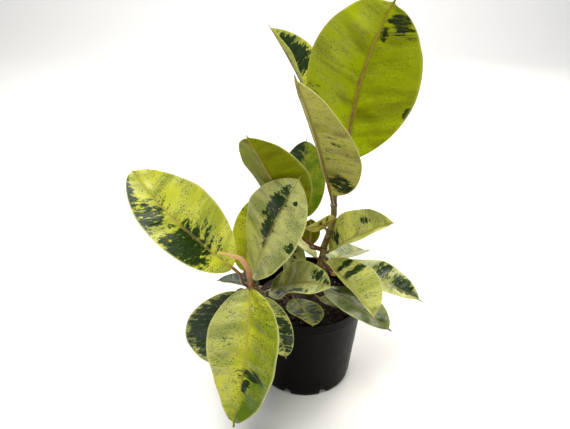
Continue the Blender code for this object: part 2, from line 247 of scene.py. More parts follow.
# 1 m / 140 = 7 mm patches of wear, 1 m / 1600 = 0.6 mm mould grain
wear = add(tree, "ShaderNodeTexNoise", {"Vector": coords, "Scale": 140.0, "Detail": 6.0,
                                        "Roughness": 0.65})
grain = add(tree, "ShaderNodeTexNoise", {"Vector": coords, "Scale": 1600.0, "Detail": 2.0})
stretch = add(tree, "ShaderNodeMapping", {"Vector": coords, "Scale": (90.0, 90.0, 9.0)})
scuff = add(tree, "ShaderNodeTexNoise", {"Vector": stretch.outputs[0], "Scale": 4.0, "Detail": 5.0})
scuff_mask = add(tree, "ShaderNodeMapRange", {"Value": scuff.outputs["Fac"], "From Min": 0.60,
                                              "From Max": 0.74, "To Max": 0.35})
height = add(tree, "ShaderNodeSeparateXYZ", {"Vector": coords})
foot = add(tree, "ShaderNodeMapRange", {"Value": height.outputs["Z"], "From Min": 0.016,
                                        "From Max": 0.001, "To Max": 0.6})
dusty = add(tree, "ShaderNodeMath", {0: foot.outputs[0], 1: wear.outputs["Fac"]},
            operation="MULTIPLY")
tone = add(tree, "ShaderNodeMix", {"Factor": scuff_mask.outputs[0], "A": linear("0a0605"),
                                   "B": linear("100b09")}, data_type="RGBA")
tone = add(tree, "ShaderNodeMix", {"Factor": dusty.outputs[0], "A": tone.outputs["Result"],
                                   "B": linear("241d18")}, data_type="RGBA")
rough = add(tree, "ShaderNodeMapRange", {"Value": wear.outputs["Fac"], "From Min": 0.3,
                                         "From Max": 0.7, "To Min": 0.30, "To Max": 0.46})
bumps = add(tree, "ShaderNodeBump", {"Height": grain.outputs["Fac"], "Strength": 0.10,
                                     "Distance": 0.0002})
bumps = add(tree, "ShaderNodeBump", {"Height": scuff.outputs["Fac"], "Strength": 0.25,
                                     "Distance": 0.0004, "Normal": bumps.outputs[0]})
shader = add(tree, "ShaderNodeBsdfPrincipled", {"Base Color": tone.outputs["Result"],
                                                "Roughness": rough.outputs[0], "IOR": 1.49,
                                                "Specular IOR Level": 0.05,
                                                "Normal": bumps.outputs[0]})
tree.links.new(shader.outputs[0], out.inputs[0])
pot = finish_piece("nursery_pot", bm, [pot_plastic], 32)
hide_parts("pot")


# ---- soil ------------------------------------------------------------------------
# Dark peat mix filling the pot to 2 cm below the lip: a lumpy crust with bark
# chips and white perlite lying on it.
soil_low, soil_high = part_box("soil")
SOIL_RADIUS = soil_high[0]
SOIL_CROWN = soil_high[2]
SOIL_EDGE = SOIL_CROWN - 0.004


def soil_height(x, y):
    """The crust's height: domed to the middle, with lumps 6 to 20 mm across."""
    r = math.hypot(x, y) / SOIL_RADIUS
    dome = SOIL_EDGE + (SOIL_CROWN - SOIL_EDGE) * max(0.0, 1 - r ** 1.6)
    lumps = noise.fractal(Vector((x * 70, y * 70, 3.1)), 0.9, 2.1, 4) * 0.0016
    return dome + lumps - 0.0004


top_rings = [(SOIL_RADIUS - 0.0016) * k / 40 for k in range(41)]
profile = [(r, SOIL_EDGE) for r in top_rings]
profile += [(SOIL_RADIUS - 0.0004, SOIL_EDGE - 0.003), (0.058, soil_low[2] + 0.012),
            (0.048, soil_low[2]), (0.0, soil_low[2])]
bm = spun(profile, 144)
for vert in bm.verts:
    r = math.hypot(vert.co.x, vert.co.y)
    if vert.co.z >= SOIL_EDGE - 0.0001:
        fade = min(1.0, (SOIL_RADIUS - r) / 0.004)
        vert.co.z = SOIL_EDGE + (soil_height(vert.co.x, vert.co.y) - SOIL_EDGE) * fade
# Moist peat: nearly black brown crumbs about 1 mm across with a few paler fibres.
peat, tree, out = new_material("moist_peat_mix")
coords = add(tree, "ShaderNodeTexCoord").outputs["Object"]
crumbs = add(tree, "ShaderNodeTexVoronoi", {"Vector": coords, "Scale": 700.0})
clods = add(tree, "ShaderNodeTexNoise", {"Vector": coords, "Scale": 160.0, "Detail": 8.0})
colour = add(tree, "ShaderNodeValToRGB", {"Fac": clods.outputs["Fac"]})
colour.color_ramp.elements[0].position, colour.color_ramp.elements[0].color = 0.35, linear("120b07")
colour.color_ramp.elements[1].position, colour.color_ramp.elements[1].color = 0.72, linear("3a2a1d")
bumps = add(tree, "ShaderNodeBump", {"Height": crumbs.outputs["Distance"], "Strength": 0.9,
                                     "Distance": 0.0012})
bumps = add(tree, "ShaderNodeBump", {"Height": clods.outputs["Fac"], "Strength": 0.8,
                                     "Distance": 0.003, "Normal": bumps.outputs[0]})
shader = add(tree, "ShaderNodeBsdfPrincipled", {"Base Color": colour.outputs["Color"],
                                                "Roughness": 0.92, "Normal": bumps.outputs[0]})
tree.links.new(shader.outputs[0], out.inputs[0])
soil = finish_piece("potting_mix", bm, [peat], 180)
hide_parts("soil")

rng = random.Random(11)


def scatter(name, count, smallest, largest, flat, mat):
    """Small irregular lumps lying half sunk in the crust."""
    bm = bmesh.new()
    for _ in range(count):
        r = (SOIL_RADIUS - 0.006) * math.sqrt(rng.uniform(0.02, 1.0))
        a = rng.uniform(0, 2 * math.pi)
        size = rng.uniform(smallest, largest)
        x, y = r * math.cos(a), r * math.sin(a)
        place = (Matrix.Translation((x, y, soil_height(x, y) + size * 0.12))
                 @ Matrix.Rotation(rng.uniform(0, 6.28), 4, "Z")
                 @ Matrix.Rotation(rng.uniform(-0.5, 0.5), 4, "X")
                 @ Matrix.Diagonal((size, size * rng.uniform(0.45, 0.9), size * flat, 1.0)))
        made = bmesh.ops.create_icosphere(bm, subdivisions=1, radius=0.5, matrix=place)
        for vert in made["verts"]:
            knock = Vector((rng.uniform(-1, 1), rng.uniform(-1, 1), rng.uniform(-1, 1)))
            vert.co += knock * size * 0.07
    piece = finish_piece(name, bm, [mat], 30)


# Composted pine bark: flat brown chips, rough and dry on top.
bark_chip, tree, out = new_material("composted_bark_chips")
coords = add(tree, "ShaderNodeTexCoord").outputs["Object"]
fibres = add(tree, "ShaderNodeTexNoise", {"Vector": coords, "Scale": 420.0, "Detail": 5.0})
colour = add(tree, "ShaderNodeValToRGB", {"Fac": fibres.outputs["Fac"]})
colour.color_ramp.elements[0].position, colour.color_ramp.elements[0].color = 0.35, linear("1d120b")
colour.color_ramp.elements[1].position, colour.color_ramp.elements[1].color = 0.70, linear("54402c")
bumps = add(tree, "ShaderNodeBump", {"Height": fibres.outputs["Fac"], "Strength": 0.7,
                                     "Distance": 0.001})
shader = add(tree, "ShaderNodeBsdfPrincipled", {"Base Color": colour.outputs["Color"],
                                                "Roughness": 0.85, "Normal": bumps.outputs[0]})
tree.links.new(shader.outputs[0], out.inputs[0])
scatter("soil_bark_chips", 260, 0.003, 0.009, 0.35, bark_chip)

# Expanded perlite: crumbly white volcanic glass, dull and slightly dirty.
perlite, tree, out = new_material("expanded_perlite")
coords = add(tree, "ShaderNodeTexCoord").outputs["Object"]
pores = add(tree, "ShaderNodeTexVoronoi", {"Vector": coords, "Scale": 1800.0})
colour = add(tree, "ShaderNodeMix", {"Factor": pores.outputs["Distance"], "A": linear("e6e2d8"),
                                     "B": linear("a59c8c")}, data_type="RGBA")
bumps = add(tree, "ShaderNodeBump", {"Height": pores.outputs["Distance"], "Strength": 0.6,
                                     "Distance": 0.0005})
shader = add(tree, "ShaderNodeBsdfPrincipled", {"Base Color": colour.outputs["Result"],
                                                "Roughness": 0.9, "Normal": bumps.outputs[0]})
tree.links.new(shader.outputs[0], out.inputs[0])
scatter("soil_perlite", 46, 0.0015, 0.0035, 0.8, perlite)


# ---- stems -----------------------------------------------------------------------
# A main stem and a low side branch rise from the soil, with a short shoot on the
# right: smooth brown young bark with a ringed leaf scar at every node.
def smooth_path(points, per_span=10):
    """A Catmull-Rom path through the points, as a list of vectors."""
    pts = [Vector(p) for p in points]
    pts = [2 * pts[0] - pts[1]] + pts + [2 * pts[-1] - pts[-2]]
    path = []
    for i in range(1, len(pts) - 2):
        a, b, c, d = pts[i - 1:i + 3]
        for k in range(per_span):
            t = k / per_span
            path.append(0.5 * (2 * b + (c - a) * t + (2 * a - 5 * b + 4 * c - d) * t * t
                               + (3 * b - a - 3 * c + d) * t ** 3))
    path.append(pts[-2])
    return path


def tube(bm, path, radii, sides=14, squash=None, share_layer=None, mat=0):
    """Extrude a ring along a path, station by station, and close both ends."""
    made = bmesh.ops.create_circle(bm, cap_ends=False, segments=sides, radius=1.0)
    ring = made["verts"]
    side = None
    faces = []
    first = ring
    for i, centre in enumerate(path):
        along = (path[min(i + 1, len(path) - 1)] - path[max(i - 1, 0)]).normalized()
        if side is None:
            side = along.orthogonal().normalized()
        side = (side - along * side.dot(along)).normalized()
        up = along.cross(side)
        if i:
            edges = {e: 0 for v in ring for e in v.link_edges if e.other_vert(v) in ring_set}
            grown = bmesh.ops.extrude_edge_only(bm, edges=list(edges))["geom"]
            faces += [g for g in grown if isinstance(g, bmesh.types.BMFace)]
            follow = {}
            for vert in (g for g in grown if isinstance(g, bmesh.types.BMVert)):
                for e in vert.link_edges:
                    if e.other_vert(vert) in ring_set:
                        follow[e.other_vert(vert)] = vert
            ring = [follow[v] for v in ring]
        ring_set = set(ring)
        for k, vert in enumerate(ring):
            a = 2 * math.pi * k / sides
            x, y = radii[i] * math.cos(a), radii[i] * math.sin(a)
            if squash:
                side_at, up_at, x, y = squash(i, x, y)
                vert.co = centre + side_at * x + up_at * y
            else:
                vert.co = centre + side * x + up * y
            if share_layer is not None:
                vert[share_layer] = i / (len(path) - 1)
    for loop in (first, ring):
        faces.append(bm.faces.new(loop))
    bmesh.ops.recalc_face_normals(bm, faces=faces)
    for face in faces:
        face.material_index = mat
    return faces


MAIN_POINTS = [(0.006, 0.004, 0.092), (0.006, 0.004, 0.112), (0.012, 0.004, 0.140),
               (0.020, 0.002, 0.168), (0.022, 0.001, 0.188), (0.028, 0.000, 0.210),
               (0.032, 0.000, 0.232), (0.032, 0.001, 0.258), (0.038, 0.002, 0.297),
               (0.045, 0.002, 0.336)]
BRANCH_POINTS = [(-0.014, -0.008, 0.092), (-0.014, -0.008, 0.112), (-0.024, -0.020, 0.134),
                 (-0.038, -0.044, 0.156), (-0.050, -0.067, 0.167), (-0.057, -0.080, 0.182),
                 (-0.060, -0.087, 0.196)]
SHOOT_POINTS = [(0.0225, -0.0052, 0.1605), (0.026, -0.012, 0.160), (0.031, -0.020, 0.162)]
STEMS = {
    "main": (smooth_path(MAIN_POINTS), 0.0048, 0.0031),
    "branch": (smooth_path(BRANCH_POINTS), 0.0032, 0.0024),
    "shoot": (smooth_path(SHOOT_POINTS), 0.0028, 0.0022),
}

# Young ficus bark: smooth brown skin over green, with pale corky pores 1 mm long,
# darker rings at the nodes and fine lengthwise wrinkles.
bark, tree, out = new_material("smooth_young_bark")
coords = add(tree, "ShaderNodeTexCoord").outputs["Object"]
blotch = add(tree, "ShaderNodeTexNoise", {"Vector": coords, "Scale": 130.0, "Detail": 5.0})
length_ways = add(tree, "ShaderNodeMapping", {"Vector": coords, "Scale": (1.0, 1.0, 0.14)})
wrinkle = add(tree, "ShaderNodeTexNoise", {"Vector": length_ways.outputs[0], "Scale": 1500.0,
                                           "Detail": 3.0})
cork = add(tree, "ShaderNodeTexVoronoi", {"Vector": coords, "Scale": 420.0})
cork_mask = add(tree, "ShaderNodeMapRange", {"Value": cork.outputs["Distance"],
                                             "From Min": 0.20, "From Max": 0.10, "To Max": 0.7})
ring_tone = add(tree, "ShaderNodeAttribute", attribute_name="node_ring").outputs["Fac"]
colour = add(tree, "ShaderNodeValToRGB", {"Fac": blotch.outputs["Fac"]})
colour.color_ramp.elements[0].position, colour.color_ramp.elements[0].color = 0.34, linear("4a3d20")
colour.color_ramp.elements[1].position, colour.color_ramp.elements[1].color = 0.68, linear("8b7b46")
corky = add(tree, "ShaderNodeMix", {"Factor": cork_mask.outputs[0], "A": colour.outputs["Color"],
                                    "B": linear("b3a06e")}, data_type="RGBA")
ringed = add(tree, "ShaderNodeMix", {"Factor": ring_tone, "A": corky.outputs["Result"],
                                     "B": linear("2e1f15")}, data_type="RGBA")
bumps = add(tree, "ShaderNodeBump", {"Height": wrinkle.outputs["Fac"], "Strength": 0.6,
                                     "Distance": 0.0006})
shader = add(tree, "ShaderNodeBsdfPrincipled", {"Base Color": ringed.outputs["Result"],
                                                "Roughness": 0.55, "Normal": bumps.outputs[0]})
tree.links.new(shader.outputs[0], out.inputs[0])

NODE_SWELL = 0.22           # how far a node stands out, as a share of the radius
NODE_LENGTH = 0.0022
SCAR_RISE = 0.0026          # the leaf scar's groove runs this far above its node
SCAR_WIDTH = 0.0008
BARK_WAVES = 900            # radians a metre: one faint swelling every 7 mm
STATION = 0.0009            # rings of the mesh this far apart show the scars


def stem(name, node, which, node_shares):
    path, r0, r1 = STEMS[which]
    travelled = [0.0]
    for a, b in zip(path, path[1:]):
        travelled.append(travelled[-1] + (b - a).length)
    rings = [travelled[min(int(s * (len(path) - 1)), len(path) - 1)] for s in node_shares]
    count = int(travelled[-1] / STATION)
    stations, radii, dark = [], [], []
    j = 0
    for i in range(count + 1):
        d = travelled[-1] * i / count
        while j < len(path) - 2 and travelled[j + 1] < d:
            j += 1
        t = (d - travelled[j]) / max(travelled[j + 1] - travelled[j], 1e-9)
        stations.append(path[j].lerp(path[j + 1], t))
        near = max((math.exp(-((d - q) / NODE_LENGTH) ** 2) for q in rings), default=0.0)
        groove = max((math.exp(-((d - q - SCAR_RISE) / SCAR_WIDTH) ** 2) for q in rings), default=0.0)
        share = i / count
        radii.append((r0 + (r1 - r0) * share) * (1 + NODE_SWELL * near - 0.07 * groove
                                                 + 0.03 * math.sin(d * BARK_WAVES)))
        dark.append(min(1.0, 0.85 * groove + 0.25 * near))
    bm = bmesh.new()
    layer = bm.verts.layers.float.new("node_ring")
    tube(bm, stations, radii, share_layer=layer)
    for vert in bm.verts:
        vert[layer] = dark[round(vert[layer] * count)]
    piece = finish_piece(name, bm, [bark], 60)
    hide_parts(node)


stem("main_stem_bark", "main_stem", "main",
     (0.22, 0.29, 0.36, 0.44, 0.56, 0.655, 0.74, 0.86, 0.95))
stem("left_branch_bark", "left_branch", "branch", (0.27, 0.45, 0.62, 0.70, 0.82, 0.93))
stem("right_shoot_bark", "right_shoot", "shoot", (0.35, 0.8))


# ---- leaves ------------------------------------------------------------------------
# Thick leathery blades, each grown in one piece with its midrib and petiole: waxy
# and variegated above, matt and paler beneath, with a pale hard margin and drip tip.
TIP_START = 0.955
BLADE_THICKNESS = 0.0009
PETIOLE_RADIUS = 0.0018
PETIOLE_LEAN = 0.5
PUCKER_DEPTH = 0.0024
RIDGE_DEPTH = 0.0007
EDGE_RIPPLE = 0.0020
GROOVE_DEPTH = 0.00045
GROOVE_WIDTH = 0.0011
ROWS = 72
COLUMNS = 32


def half_width(s, fullness):
    """Outline of the blade: 0 at its base, 1 at its widest, then a drip tip."""
    q = min(s / TIP_START, 1.0)
    body = 0.0
    if q < 1.0:
        body = math.sin(math.pi * q ** 0.92) ** (0.62 + (fullness - 0.62) * q)
    spike = 0.050 * min(max((1 - s) / 0.10, 0.0), 1.0) * min(max((s - 0.5) / 0.3, 0.0), 1.0)
    return math.hypot(body, spike)


def leaf_skin(name, bright, pale, deep, grey, dark, margin, rib, roughness, bump, glow, shine,
              specks):
    """One face of a variegated leaf, painted along its own veins.

    The `vein` attribute is in centimetres: how far out along a side vein, how far
    along the leaf, and a number of its own for each leaf and half.
    """
    mat, tree, out = new_material(name)
    vein = add(tree, "ShaderNodeAttribute", attribute_name="vein").outputs["Vector"]
    patch = add(tree, "ShaderNodeAttribute", attribute_name="patch").outputs["Fac"]
    tone = add(tree, "ShaderNodeAttribute", attribute_name="tone").outputs["Fac"]
    edge = add(tree, "ShaderNodeAttribute", attribute_name="edge").outputs["Fac"]
    midrib = add(tree, "ShaderNodeAttribute", attribute_name="midrib").outputs["Fac"]

    def pattern(scale, detail, rough=0.55):
        placed = add(tree, "ShaderNodeMapping", {"Vector": vein, "Scale": scale})
        return add(tree, "ShaderNodeTexNoise", {"Vector": placed.outputs[0], "Scale": 1.0,
                                                "Detail": detail, "Roughness": rough}).outputs["Fac"]

    def maths(operation, a, b):
        return add(tree, "ShaderNodeMath", {0: a, 1: b}, operation=operation).outputs[0]

    def window(value, low, high, top=1.0):
        return add(tree, "ShaderNodeMapRange", {"Value": value, "From Min": low, "From Max": high,
                                                "To Max": top}).outputs[0]

    def blend(factor, a, b):
        return add(tree, "ShaderNodeMix", {"Factor": factor, "A": a, "B": b},
                   data_type="RGBA").outputs["Result"]

    cloud = pattern((0.45, 0.7, 1.0), 3.0)        # areas about 15 to 20 mm across
    ragged = pattern((0.8, 2.4, 1.0), 7.0, 0.66)  # streaks 4 mm wide, 12 mm along the vein
    streak = pattern((1.5, 8.0, 1.0), 4.0, 0.6)   # streaks 1 mm wide, 6 mm long
    fleck = pattern((5.0, 11.0, 1.0), 3.0)        # flecks about 1 mm wide, 2 mm long
    lines = pattern((0.35, 8.0, 1.0), 2.0)        # side veins, 1 to 2 mm apart
    undulation_shade = pattern((0.16, 0.50, 1.0), 2.0)       # painted shade of the blade's undulations, soft areas 20 mm across

    def swing(value, amount):
        return maths("MULTIPLY", maths("SUBTRACT", value, 0.5), amount)

    # how deep in a dark patch: the patch's own place, made ragged along the veins
    tear = maths("ADD", swing(ragged, 3.0), maths("ADD", swing(streak, 0.9), swing(fleck, 0.6)))
    loose = maths("ADD", maths("MULTIPLY", patch, 0.85), 0.35)
    field = maths("ADD", maths("MULTIPLY", patch, 1.1), maths("MULTIPLY", tear, loose))
    drift = maths("ADD", tone, swing(cloud, 1.1))
    colour = blend(window(drift, 0.0, 1.0), linear(bright), linear(pale))
    colour = blend(window(drift, 1.0, 2.0), colour, linear(grey))
    colour = blend(window(drift, -0.1, -0.9), colour, linear(deep))
    # painted shade: soft deep green areas where the undulating blade would lie in shadow
    colour = blend(window(undulation_shade, 0.50, 0.66, 0.50), colour, linear(deep))
    colour = blend(window(maths("ADD", lines, swing(cloud, 0.6)), 0.50, 0.70, 0.22),
                   colour, linear(grey))
    full_green = blend(window(maths("ADD", streak, fleck), 1.04, 1.16, 0.75),
                       linear(dark), linear(grey))
    colour = blend(window(field, 0.38, 0.48, 0.75), colour, linear(grey))
    colour = blend(window(field, 0.50, 0.56, 0.98), colour, full_green)
    speck = maths("MULTIPLY", window(fleck, 0.56, 0.62),
                  window(maths("ADD", ragged, cloud), 0.84, 1.04, specks))
    colour = blend(speck, colour, linear(dark))
    colour = blend(edge, colour, linear(margin))
    colour = blend(midrib, colour, linear(rib))
    height = maths("ADD", maths("MULTIPLY", lines, 0.7), maths("MULTIPLY", cloud, 0.6))
    bumps = add(tree, "ShaderNodeBump", {"Height": height, "Strength": bump, "Distance": 0.0012})
    face = add(tree, "ShaderNodeBsdfPrincipled", {
        "Base Color": colour, "Roughness": roughness, "IOR": 1.45,
        "Specular IOR Level": 0.15 + shine, "Coat Weight": shine,
        "Coat Roughness": 0.22, "Normal": bumps.outputs[0]})
    lit = add(tree, "ShaderNodeHueSaturation", {"Color": colour, "Saturation": 1.25, "Value": 1.0})
    through = add(tree, "ShaderNodeBsdfTranslucent", {"Color": lit.outputs["Color"]})
    both = add(tree, "ShaderNodeMixShader", {0: glow, 1: face.outputs[0], 2: through.outputs[0]})
    tree.links.new(both.outputs[0], out.inputs[0])
    return mat


# Upper face: cutin wax over the blade, satin to glossy, yellow to grey-green with
# dark green patches where the leaf has its full green.
waxy_face = leaf_skin("waxy_variegated_leaf_face", "dadb34", "ced184", "64800e", "4a6226",
                      "16320a", "dcdc90", "c2ac64", 0.29, 0.65, 0.34, 0.20, 0.90)
# Underside: matt, no wax shine, yellower, its veins a little raised.
matt_back = leaf_skin("matt_leaf_underside", "b6c40a", "e4dc86", "807a08", "747c2c",
                      "2a3c12", "c6c468", "9c6c2c", 0.50, 0.45, 0.46, 0.0, 0.55)

# Petiole and midrib: firm smooth flesh, dark brown at the stem, turning lighter
# brown and then yellow-green along the rib.
petiole_skin, tree, out = new_material("brown_petiole_skin")
along = add(tree, "ShaderNodeAttribute", attribute_name="along").outputs["Fac"]
coords = add(tree, "ShaderNodeTexCoord").outputs["Object"]
mottle = add(tree, "ShaderNodeTexNoise", {"Vector": coords, "Scale": 260.0, "Detail": 4.0})
mixed = add(tree, "ShaderNodeMath", {0: along, 1: mottle.outputs["Fac"]}, operation="ADD")
ramp = add(tree, "ShaderNodeValToRGB", {"Fac": add(tree, "ShaderNodeMapRange", {
    "Value": mixed.outputs[0], "From Min": 0.35, "From Max": 1.4}).outputs[0]})
ramp.color_ramp.elements[0].position, ramp.color_ramp.elements[0].color = 0.0, linear("3f2311")
ramp.color_ramp.elements[1].position, ramp.color_ramp.elements[1].color = 1.0, linear("a8963a")
tan = ramp.color_ramp.elements.new(0.36)
tan.color = linear("764a26")
bumps = add(tree, "ShaderNodeBump", {"Height": mottle.outputs["Fac"], "Strength": 0.3,
                                     "Distance": 0.0005})
shader = add(tree, "ShaderNodeBsdfPrincipled", {
    "Base Color": ramp.outputs["Color"], "Roughness": 0.38, "Subsurface Weight": 0.10,
    "Subsurface Scale": 0.002, "Subsurface Radius": (1.0, 0.5, 0.2), "Normal": bumps.outputs[0]})
tree.links.new(shader.outputs[0], out.inputs[0])

leaf_number = 0


def leaf(node, stem_at, base, heading, rise, length, width, droop=10, sweep=0,
         roll=0, twist=0, fold=15, fullness=0.7, tone=0.4, patches=(), pucker=1.0, wave=0.0,
         phase=0.0, side_tone=0.0, tip_tone=None):
    """One leaf.  See the comments in the body for what each angle does.

    Tone runs from -1, deep green, past 0, yellow, and 1, pale, to 2, grey-green; on the few
    leaves noted at each, a darker tone is painted shade.  It changes to tip_tone along the
    leaf and by side_tone from the right half to the left.

    Each patch is (share of the length, place across from -1 to 1, reach along,
    reach across, strength) of an area of full green, or on the few leaves noted at each,
    of painted shade.
    """
    global leaf_number
    leaf_number += 1
    seed = leaf_number * 3.7
    base = Vector(base)
    tilt = math.radians(fold)
    tip_tone = tone if tip_tone is None else tip_tone

    def frame_at(s):
        # heading round from +X, rise above level, both changing evenly along the leaf
        h, e = math.radians(heading + sweep * s), math.radians(rise - droop * s)
        ahead = Vector((math.cos(h) * math.cos(e), math.sin(h) * math.cos(e), math.sin(e)))
        level = Vector((-math.sin(h), math.cos(h), 0.0))
        up = ahead.cross(level)
        turn = math.radians(roll + twist * s)
        side = level * math.cos(turn) + up * math.sin(turn)
        return ahead, side, ahead.cross(side)

    steps = 96
    frames = [frame_at(i / steps) for i in range(steps + 1)]
    midline = [base]
    for i in range(steps):
        midline.append(midline[-1] + frame_at((i + 0.5) / steps)[0] * (length / steps))

    def middle_at(s):
        place = min(s, 1.0) * steps
        i = min(int(place), steps - 1)
        return midline[i].lerp(midline[i + 1], place - i), frames[round(place)]

    def blade_point(s, v, under):
        centre, (ahead, side, up) = middle_at(s)
        half = max(half_width(s, fullness) * width / 2, 0.0004)
        a = abs(v)
        half_id = seed + (11.0 if v > 0 else 0.0)
        # shallow puckers between the side veins, strongest halfway out
        out_along = a * half * 100
        forward = s * length * 100 - out_along * 0.22
        puff = noise.noise(Vector((out_along * 0.24, forward * 0.62, half_id)))
        ridge = noise.noise(Vector((out_along * 0.12, forward * 2.4, half_id + 5)))
        relief = (puff * PUCKER_DEPTH + ridge * RIDGE_DEPTH) * pucker
        relief *= math.sin(math.pi * min(a, 1.0) ** 0.8)
        relief *= min(a * half / 0.005, 1.0)  # the stiff midrib keeps its own line
        ripple = noise.noise(Vector((forward * 0.42, half_id, 0.5))) * EDGE_RIPPLE * pucker * a ** 3
        swing = math.sin(2 * math.pi * (2 * s + phase + (0.15 if v > 0 else 0.0)))
        groove = -GROOVE_DEPTH * math.exp(-(a * half / GROOVE_WIDTH) ** 2) * (1 - under)
        y = half * v * math.cos(tilt)
        z = half * a * math.sin(tilt) + wave * half * a * a * swing
        z += relief + ripple + groove
        # the edge thins to a rounded margin
        thick = BLADE_THICKNESS * (1.0 if a < 0.97 else 0.75)
        z += BLADE_THICKNESS / 2 - under * thick
        return centre + side * y + up * z, out_along, forward, half_id, half

    bm = bmesh.new()
    vein = bm.verts.layers.float_vector.new("vein")
    patch_layer = bm.verts.layers.float.new("patch")
    tone_layer = bm.verts.layers.float.new("tone")
    edge_layer = bm.verts.layers.float.new("edge")
    rib_layer = bm.verts.layers.float.new("midrib")
    along_layer = bm.verts.layers.float.new("along")
    made = bmesh.ops.create_grid(bm, x_segments=ROWS, y_segments=COLUMNS, size=1.0)
    upper = list(made["verts"])
    upper_faces = list(bm.faces)
    copied = bmesh.ops.duplicate(bm, geom=upper + list(bm.edges) + upper_faces)["geom"]
    lower = [g for g in copied if isinstance(g, bmesh.types.BMVert)]
    lower_faces = [g for g in copied if isinstance(g, bmesh.types.BMFace)]
    bmesh.ops.reverse_faces(bm, faces=lower_faces)
    rims = [e for e in bm.edges if e.is_boundary]
    rim_faces = bmesh.ops.bridge_loops(bm, edges=rims)["faces"]
    for under, verts in ((0, upper), (1, lower)):
        for vert in verts:
            t, v = (vert.co.x + 1) / 2, vert.co.y
            # rows lie closer together at the two ends, where the outline turns
            s = 0.65 * t + 0.35 * (0.5 - 0.5 * math.cos(math.pi * t))
            vert.co, out_along, forward, half_id, half = blade_point(s, v, under)
            vert[vein] = (out_along, forward, half_id)
            deep = 0.0
            for ps, pv, ds, dv, strength in patches:
                q = ((s - ps) / ds) ** 2 + ((v - pv) / dv) ** 2
                deep = max(deep, strength * math.exp(-0.55 * q))
            vert[patch_layer] = deep
            vert[tone_layer] = (tone + (tip_tone - tone) * s + 0.2 * (1 - abs(v)) * (s - 0.5)
                                + side_tone * min(max(v * 2.5, -1.0), 1.0) / 2)
            vert[edge_layer] = 0.9 if abs(v) > 0.965 else 0.0
            vert[rib_layer] = ((0.8 if under else 0.55) * (1 - 0.5 * s)
                               * math.exp(-(abs(v) * half / GROOVE_WIDTH) ** 2))
    for face in upper_faces + list(rim_faces):
        face.material_index = 0
    for face in lower_faces:
        face.material_index = 1

    # petiole from inside the bark to the blade, then the rib along the underside
    path, r0, r1 = STEMS[stem_at[0]]
    place = stem_at[1] * (len(path) - 1)
    i = min(int(place), len(path) - 2)
    centre = path[i].lerp(path[i + 1], place - i)
    up_stem = (path[i + 1] - path[i]).normalized()
    away = base - centre
    away = (away - up_stem * away.dot(up_stem)).normalized()
    bark_r = r0 + (r1 - r0) * stem_at[1]
    root = centre + away * (bark_r + 0.0009)
    reach = (base - root).length
    ahead0, side0, _ = frames[0]
    lean = (away + up_stem * PETIOLE_LEAN).normalized()
    pull_a, pull_b = root + lean * reach * 0.45, base - ahead0 * reach * 0.40
    stations = [centre + away * bark_r * 0.6, centre + away * bark_r * 0.95]
    radii = [PETIOLE_RADIUS * 1.02, PETIOLE_RADIUS * 1.02]
    bends = 14
    for k in range(bends + 1):
        t = k / bends
        u = 1 - t
        stations.append(root * u ** 3 + pull_a * 3 * u * u * t + pull_b * 3 * u * t * t
                        + base * t ** 3)
        flare = math.exp(-t * reach / 0.0030)
        radii.append(PETIOLE_RADIUS * (0.94 + 0.08 * flare))
    petiole_end = len(stations)
    rib_stations = 44
    for k in range(1, rib_stations + 1):
        s = 0.965 * k / rib_stations
        spot, _ = middle_at(s)
        stations.append(spot)
        radii.append(PETIOLE_RADIUS * (1 - s) ** 1.1 * 0.92 + 0.00022)

    def press(i, x, y):
        """Round on the petiole; flat on top where it runs inside the blade."""
        here = stations[i]
        if i < petiole_end:
            step = stations[min(i + 1, len(stations) - 1)] - stations[max(i - 1, 0)]
            ahead = step.normalized()
            side = (side0 - ahead * side0.dot(ahead)).normalized()
            up = ahead.cross(side)
        else:
            ahead, side, up = middle_at(0.965 * (i - petiole_end + 1) / rib_stations)[1]
        blend_in = min(max((i - petiole_end + 3) / 4, 0.0), 1.0)
        top = BLADE_THICKNESS * 0.2
        y_low = min(y, top) - 0.0005
        return side, up, x, y * (1 - blend_in) + y_low * blend_in

    tube(bm, stations, radii, 12, press, along_layer, 2)
    piece = finish_piece(node + "_blade", bm, [waxy_face, matt_back, petiole_skin], 60)
    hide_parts(node)


# Crown: the biggest leaves, which lean forward and show their undersides.
leaf("leaf_crown_tall", ("main", 0.86), (0.043, -0.006, 0.306),
     heading=-65, rise=89, length=0.195, width=0.120, droop=44, sweep=-7, roll=-49, twist=19,
     fold=11, fullness=0.60,
     tone=0.0, side_tone=-0.4, pucker=2.4,
     patches=[(0.86, 0.55, 0.07, 0.42, 0.72), (0.78, 0.14, 0.07, 0.10, 0.6),
              (0.33, 0.97, 0.04, 0.07, 0.9), (0.30, -0.80, 0.10, 0.2, 0.30)])
leaf("leaf_crown_folded", ("main", 0.74), (0.024, -0.033, 0.277),
     heading=-117, rise=63, length=0.167, width=0.098, droop=6, sweep=-6, roll=-35, twist=11,
     fold=19, fullness=0.60,
     tone=0.85, pucker=1.0,
     patches=[(0.15, 0.55, 0.08, 0.45, 0.85), (0.45, 0.5, 0.3, 0.5, 0.28)])
leaf("leaf_crown_back_left", ("main", 0.95), (0.010, 0.041, 0.346),
     heading=-177, rise=66, length=0.113, width=0.064, droop=10, sweep=16, roll=-47, twist=20,
     fold=36, fullness=0.85,
     tone=0.4,
     patches=[(0.62, -0.45, 0.22, 0.35, 0.95), (0.25, -0.5, 0.15, 0.4, 0.6)])
leaf("leaf_mid_left", ("main", 0.44), (-0.017, -0.032, 0.242),
     heading=-129, rise=63, length=0.159, width=0.075, droop=17, sweep=20, roll=11, twist=-9,
     fold=20, fullness=0.73,
     tone=-0.55, pucker=1.2,
     patches=[(0.30, -0.75, 0.2, 0.3, 0.30)])
